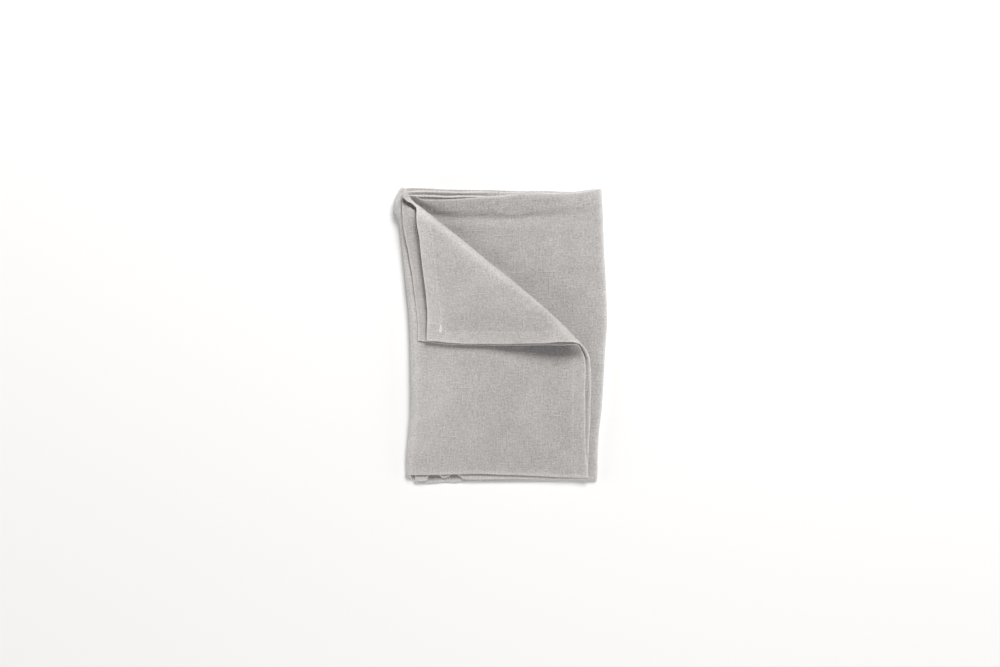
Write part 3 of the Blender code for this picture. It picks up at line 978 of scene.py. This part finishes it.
# Painted light: the left parts of the lid and the flap are painted paler, where the puffy stack
# slopes towards the lamps. Painted shade: the tucked panel is painted darker along its groove
# under the ledge, where shade falls.
PAINTED_LIGHT_AND_SHADE_PATCHES = (
    # panel, middle x and y, reach along x and y, how much paler: painted light, or painted shade
    # below zero
    ("lid", -56, -60, 24, 70, 0.12),
    ("flap", -20, 40, 60, 60, 0.05),
    ("flap", -52, 0, 14, 40, 0.06),
    ("tuck", -42, 98, 50, 8, -0.2),
    ("tuck", 30, 98, 34, 8, -0.1),
)
# A painted highlight runs along the crest of the roll, where the turned cloth faces the lamp.
PAINTED_HIGHLIGHT_LINES = (
    # panel, half width in mm, how much paler as a painted highlight, and the places that it runs
    # through
    ("flap", 3.4, 0.16, ROLL_CREST),
)
# A painted highlight line fades in and out over these shares of its length.
PAINTED_HIGHLIGHT_ENDS = (0.15, 0.3)


def painted_light_and_shade_at(u, v, places):
    """How much painted light (above zero) or painted shade (below) the cloth gets at points of
    the flat cloth, from where they are folded to.
    """
    x, y = places[:, 0] + STACK_MIDDLE[0], places[:, 1] + STACK_MIDDLE[1]
    panels = {
        "tuck": (v > P_START) & (u < TUCK_WIDTH),
        "lid": (v > P_START) & (u > LID_START),
        "flap": (v < Q_LENGTH) & (u > LID_START),
    }
    painted_light_and_shade = np.zeros_like(u)
    for panel, middle_x, middle_y, reach_x, reach_y, amount in PAINTED_LIGHT_AND_SHADE_PATCHES:
        far = ((x / MM - middle_x) / reach_x) ** 2 + ((y / MM - middle_y) / reach_y) ** 2
        painted_light_and_shade += amount * np.exp(-far) * panels[panel]
    for panel, half_width, amount, line in PAINTED_HIGHLIGHT_LINES:
        far, share = distance_to_line(x / MM, y / MM, line)
        ends = smooth_step(share / PAINTED_HIGHLIGHT_ENDS[0])
        ends = ends * smooth_step((1 - share) / PAINTED_HIGHLIGHT_ENDS[1])
        painted_light_and_shade += amount * np.exp(-((far / half_width) ** 2)) * ends * panels[panel]
    return painted_light_and_shade


def add_cloth_coordinates(mesh, u, v, places):
    """Writes the flat place of every corner as the UV map, in metres, the cloth's wear and its
    painted light and shade.
    """
    loops = np.empty(len(mesh.loops), np.int32)
    mesh.loops.foreach_get("vertex_index", loops)
    uv = mesh.uv_layers.new(name="cloth_metres")
    uv.data.foreach_set("uv", np.column_stack([u, v])[loops].ravel())
    # Edges and fold crests are paler from wear. The same paleness is also a painted highlight on
    # the rims that catch the light, strongest along the left fold.
    crests = (
        # distance from the crest, reach of the wear and painted rim highlight, and its strength
        (edge_distance(u, v), EDGE_WEAR_AND_HIGHLIGHT_REACH, 1.0),
        (abs(v - Q_LENGTH - FIRST_BEND / 2) - FIRST_BEND / 4, EDGE_WEAR_AND_HIGHLIGHT_REACH, 1.0),
        (abs(u - TUCK_WIDTH - RIGHT_BEND / 2) - RIGHT_BEND / 4, FOLD_WEAR_AND_HIGHLIGHT_REACH, 0.8),
        (abs(u - LID_START + LEFT_BEND / 4) - LEFT_BEND / 4, LEFT_WEAR_AND_HIGHLIGHT_REACH, 0.6),
    )
    wear_and_rim_highlight = np.zeros_like(u)
    for far, reach, strength in crests:
        wear_and_rim_highlight = np.maximum(wear_and_rim_highlight, strength * np.exp(-np.maximum(far, 0.0) / reach))
    hem = 1 - smooth_step((edge_distance(u, v) - HEM_WIDTH) / HEM_STEP)
    for name, values in (("hem", hem), ("wear_and_rim_highlight", wear_and_rim_highlight), ("painted_light_and_shade", painted_light_and_shade_at(u, v, places))):
        attribute = mesh.attributes.new(name, "FLOAT", "POINT")
        attribute.data.foreach_set("value", values)


add_cloth_coordinates(linen_mesh, u, v, places)
linen_mesh.shade_smooth()
folded_linen = bpy.data.objects.new("folded_linen", linen_mesh)
bpy.context.scene.collection.objects.link(folded_linen)
print("folded_linen:", len(linen_mesh.polygons), "faces")

# %% [markdown]
# ## Sewing
# One row of machine stitching holds the hem, 9 mm from the edge, all the way round. Each stitch
# is about 2.6 mm of thread that lies on the cloth and dips into it at both ends, on both faces.
# The stitches are laid on the flat cloth, and then folded with it. None are laid on the
# underside, where the cloth's weight presses them into it.

# %% Stitches on both faces
STITCH_PITCH = 3.0 * MM
STITCH_LENGTH = 2.6 * MM
STITCH_WIDTH = 0.6 * MM
STITCH_HEIGHT = 0.46 * MM
SEAM_LINE = 9.2 * MM


def sewn_line():
    """Middle and direction of each stitch of the hem on the flat cloth."""
    stitches = []
    for length, fixed_ends, across_u in (
        (CLOTH_WIDTH, (SEAM_LINE, CLOTH_LENGTH - SEAM_LINE), True),
        (CLOTH_LENGTH, (SEAM_LINE, CLOTH_WIDTH - SEAM_LINE), False),
    ):
        count = int((length - 2 * SEAM_LINE) / STITCH_PITCH)
        for fixed in fixed_ends:
            for i in range(count):
                at = SEAM_LINE + (i + 0.5) * (length - 2 * SEAM_LINE) / count
                stitches.append((at, fixed, 0.0) if across_u else (fixed, at, math.pi / 2))
    return stitches


def laid_beads(beads, segments, rings):
    """Long beads on the flat cloth: each has u, v, angle, length, width, height and face."""
    bm = bmesh.new()
    bmesh.ops.create_uvsphere(bm, u_segments=segments, v_segments=rings, radius=0.5)
    round_bead = bpy.data.meshes.new("round_bead")
    bm.to_mesh(round_bead)
    bm.clear()
    for bead_u, bead_v, angle, length, width, height, outer in beads:
        lying = Matrix.Rotation(angle, 4, "Z") @ Matrix.Rotation(math.pi / 2, 4, "Y")
        size = Matrix.Diagonal((height, width, length, 1))
        # The bead's middle lies on the face. One metre up or down tells the two faces apart.
        place = Matrix.Translation((bead_u, bead_v, 1.0 if outer else -1.0))
        bead = round_bead.copy()
        bead.transform(place @ lying @ size)
        bm.from_mesh(bead)
        bpy.data.meshes.remove(bead)
    bpy.data.meshes.remove(round_bead)
    return bm


def fold_beads(bm, name):
    """Folds beads with the cloth, each point kept at its height above the face it lies on."""
    points = np.array([corner.co[:] for corner in bm.verts])
    outer = points[:, 2] > 0
    height = points[:, 2] - np.where(outer, 1.0, -1.0)
    flat_u = np.clip(points[:, 0], 0, CLOTH_WIDTH)
    flat_v = np.clip(points[:, 1], 0, CLOTH_LENGTH)
    places = fold_all(flat_u, flat_v, face_depth(flat_u, flat_v, outer) + height)
    for corner, place in zip(bm.verts, places):
        corner.co = place
    bmesh.ops.recalc_face_normals(bm, faces=list(bm.faces))
    mesh = bpy.data.meshes.new(name)
    bm.to_mesh(mesh)
    bm.free()
    add_cloth_coordinates(mesh, flat_u, flat_v, places)
    mesh.shade_smooth()
    piece = bpy.data.objects.new(name, mesh)
    bpy.context.scene.collection.objects.link(piece)
    print(f"{name}: {len(mesh.polygons)} faces")
    return piece


beads = []
for at_u, at_v, angle in sewn_line():
    under_base = at_v > P_START and TUCK_WIDTH < at_u < LID_START
    for outer in (False,) if under_base else (True, False):
        beads.append((at_u, at_v, angle, STITCH_LENGTH, STITCH_WIDTH, STITCH_HEIGHT, outer))
hem_stitches = fold_beads(laid_beads(beads, segments=6, rings=4), "hem_stitches")

# %% [markdown]
# ## A tack in the corner
# Where the sewing ends, at one corner of Q, it is tacked a few times over in undyed thread, which
# leaves short loose ends. It is the one bright spot of the cloth, so it gets its own beads.

# %% Tack of pale thread
TACKS = (
    # mm from the side edge, mm from the end edge, angle in degrees, length, width and height
    (12.2, 9.0, 0, 9.0, 1.5, 1.0),
    (14.6, 8.8, 4, 6.0, 0.8, 0.7),
    (10.6, 8.2, 8, 4.5, 1.0, 0.8),
    (10.9, 6.9, 50, 2.4, 0.7, 0.6),
    (10.4, 11.9, 35, 2.6, 0.6, 0.5),
    (8.0, 13.6, 60, 3.0, 0.6, 0.5),
    (0.9, 3.0, 0, 1.8, 1.0, 0.9),
)
beads = []
for from_side, from_end, degrees, *size in TACKS:
    place = (CLOTH_WIDTH - from_side * MM, from_end * MM, math.radians(degrees))
    beads.append((*place, *(value * MM for value in size), True))
tack_threads = fold_beads(laid_beads(beads, segments=8, rings=8), "tack_threads")

# %% [markdown]
# ## Slubs
# Linen yarn is uneven: here and there a thread swells for a centimetre or two. These slubs are
# what the eye takes for linen. They lie along both thread directions, a little proud of the
# weave, so they are long low beads on the outer face, kept off the bends. A seeded random draw
# places them, so they are the same each time.

# %% Slub threads
SLUB_COUNT = 300
SLUB_LENGTHS = (7 * MM, 26 * MM)
SLUB_WIDTHS = (0.8 * MM, 1.2 * MM)
SLUB_HEIGHT = 0.18 * MM
SLUB_MARGIN = 13 * MM
SLUBS_ON_TUCK, SLUBS_ON_P = 0.4, 0.6
SLUB_SEED = 7
random = np.random.default_rng(SLUB_SEED)
beads = []
for _ in range(SLUB_COUNT):
    length = random.uniform(*SLUB_LENGTHS)
    width = random.uniform(*SLUB_WIDTHS)
    angle = random.choice([0.0, math.pi / 2])
    if random.random() < SLUBS_ON_TUCK:
        at_u = random.uniform(SLUB_MARGIN, TUCK_WIDTH - SLUB_MARGIN)
    else:
        at_u = random.uniform(LID_START + SLUB_MARGIN, CLOTH_WIDTH - SLUB_MARGIN)
    at_v = random.uniform(SLUB_MARGIN, P_LENGTH - SLUB_MARGIN)
    if random.random() < SLUBS_ON_P:
        at_v = CLOTH_LENGTH - at_v
    beads.append((at_u, at_v, angle, length, width, SLUB_HEIGHT, True))
slub_threads = fold_beads(laid_beads(beads, segments=6, rings=10), "slub_threads")

# %% [markdown]
# ## The weave
# Plain-woven linen in a natural warm grey, washed, is dull and soft: rough everywhere, with a
# faint sheen of loose fibres at grazing angles. Its real threads are 0.6 mm apart, finer than a
# pixel of this picture, so they are drawn 0.9 mm apart, as coarse as they need to be to show.
# Each thread has its own tone along its length, made by noise stretched 8 to 1, and a fine
# mottle of loose fibres lies over them. The sewing thread and the slubs share the recipe in a
# paler tone, and the undyed thread is nearly white.

# %% Linen
THREAD_MM = 0.9
SLUB_STRETCH_MM = 7.0
FUZZ_MM = 1.3
PATCH_MM = 22.0
LINEN_DARK, LINEN_LIGHT = "#858180", "#DEDBD8"
GRAINS = {
    # size in mm across and along the panels, detail, and how much it lightens the cloth
    "warp": (THREAD_MM, SLUB_STRETCH_MM, 2.0, 0.35),
    "weft": (SLUB_STRETCH_MM, THREAD_MM, 2.0, 0.35),
    "fuzz": (FUZZ_MM, FUZZ_MM, 3.0, 0.72),
    "patches": (PATCH_MM, PATCH_MM, 2.0, 0.2),
}
GRAIN_ROUGHNESS = 0.6
# Shares of the paleness: the hem, wear with painted rim highlights, and the patches of painted
# light and shade.
WEAR_AND_PAINTED_LIGHT_SHARES = {"hem": 0.05, "wear_and_rim_highlight": 0.42, "painted_light_and_shade": 1.0}
BUMP_SHARES = {"warp": 1.0, "weft": 1.0, "fuzz": 1.1}
BUMP_STRENGTH, BUMP_DEPTH = 0.45, 0.4 * MM
LINEN_FINISH = {
    "Roughness": 0.92,
    "Specular IOR Level": 0.3,
    "Sheen Weight": 0.4,
    "Sheen Roughness": 0.5,
}


def linen_material(name, tone):
    """Washed linen. tone shifts it lighter or darker."""
    material, tree, shader = new_material(name)
    cloth_place = add_node(tree, "ShaderNodeUVMap", uv_map="cloth_metres").outputs["UV"]

    def grain_noise(name, size_u, size_v, detail):
        """One of the noises on the flat cloth, from its size in millimetres."""
        scale = (1 / (size_u * MM), 1 / (size_v * MM), 1.0)
        mapping = add_node(tree, "ShaderNodeMapping", [("Vector", cloth_place)], Scale=scale)
        grain = add_node(
            tree,
            "ShaderNodeTexNoise",
            [("Vector", mapping.outputs["Vector"])],
            label=name,
            noise_dimensions="2D",
            Scale=1.0,
            Detail=detail,
            Roughness=GRAIN_ROUGHNESS,
        )
        return grain.outputs["Fac"]

    def summed(parts, start):
        """Adds up values with their weights, from a first number."""
        total = start
        for value, weight in parts:
            node = add_node(tree, "ShaderNodeMath", [(0, value)], operation="MULTIPLY_ADD")
            node.inputs[1].default_value = weight
            if total is start:
                node.inputs[2].default_value = start
            else:
                tree.links.new(total, node.inputs[2])
            total = node.outputs["Value"]
        return total

    grain = {name: grain_noise(name, *values[:3]) for name, values in GRAINS.items()}
    lighter = [(grain[name], values[3]) for name, values in GRAINS.items()]
    # Each noise runs from 0 to 1 around a half, so half of their shares is taken off.
    start = tone - sum(weight for _, weight in lighter) / 2
    for name, weight in WEAR_AND_PAINTED_LIGHT_SHARES.items():
        attribute = add_node(tree, "ShaderNodeAttribute", attribute_name=name)
        lighter.append((attribute.outputs["Fac"], weight))
    ramp = add_node(tree, "ShaderNodeValToRGB", [("Fac", summed(lighter, start))])
    ramp.color_ramp.elements[0].color = hex_colour(LINEN_DARK)
    ramp.color_ramp.elements[1].color = hex_colour(LINEN_LIGHT)
    tree.links.new(ramp.outputs["Color"], shader.inputs["Base Color"])

    height = summed([(grain[name], weight) for name, weight in BUMP_SHARES.items()], 0.0)
    bump = add_node(
        tree,
        "ShaderNodeBump",
        [("Height", height)],
        Strength=BUMP_STRENGTH,
        Distance=BUMP_DEPTH,
    )
    tree.links.new(bump.outputs["Normal"], shader.inputs["Normal"])
    for socket, value in LINEN_FINISH.items():
        shader.inputs[socket].default_value = value
    return material


# Woven linen is a dull warm grey, slubs are bare yarn, and sewing thread catches more light.
linen = linen_material("washed_linen_cloth", tone=0.40)
slub_linen = linen_material("washed_linen_slubs", tone=0.47)
thread = linen_material("linen_sewing_thread", tone=0.62)
undyed_thread = linen_material("undyed_sewing_thread", tone=1.05)

# %% Materials on their pieces
dressed = {
    folded_linen: linen,
    hem_stitches: thread,
    tack_threads: undyed_thread,
    slub_threads: slub_linen,
}
for piece, material in dressed.items():
    piece.data.materials.append(material)
print("materials:", [material.name for material in bpy.data.materials])

# %% [markdown]
# ## The pieces on the model's body
# Every piece rides on the model's one body. The folded cloth stands for the imported solid,
# which is hidden.

# %% Bodies
for piece in dressed:
    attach(piece, "root")
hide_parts("napkin_cloth")
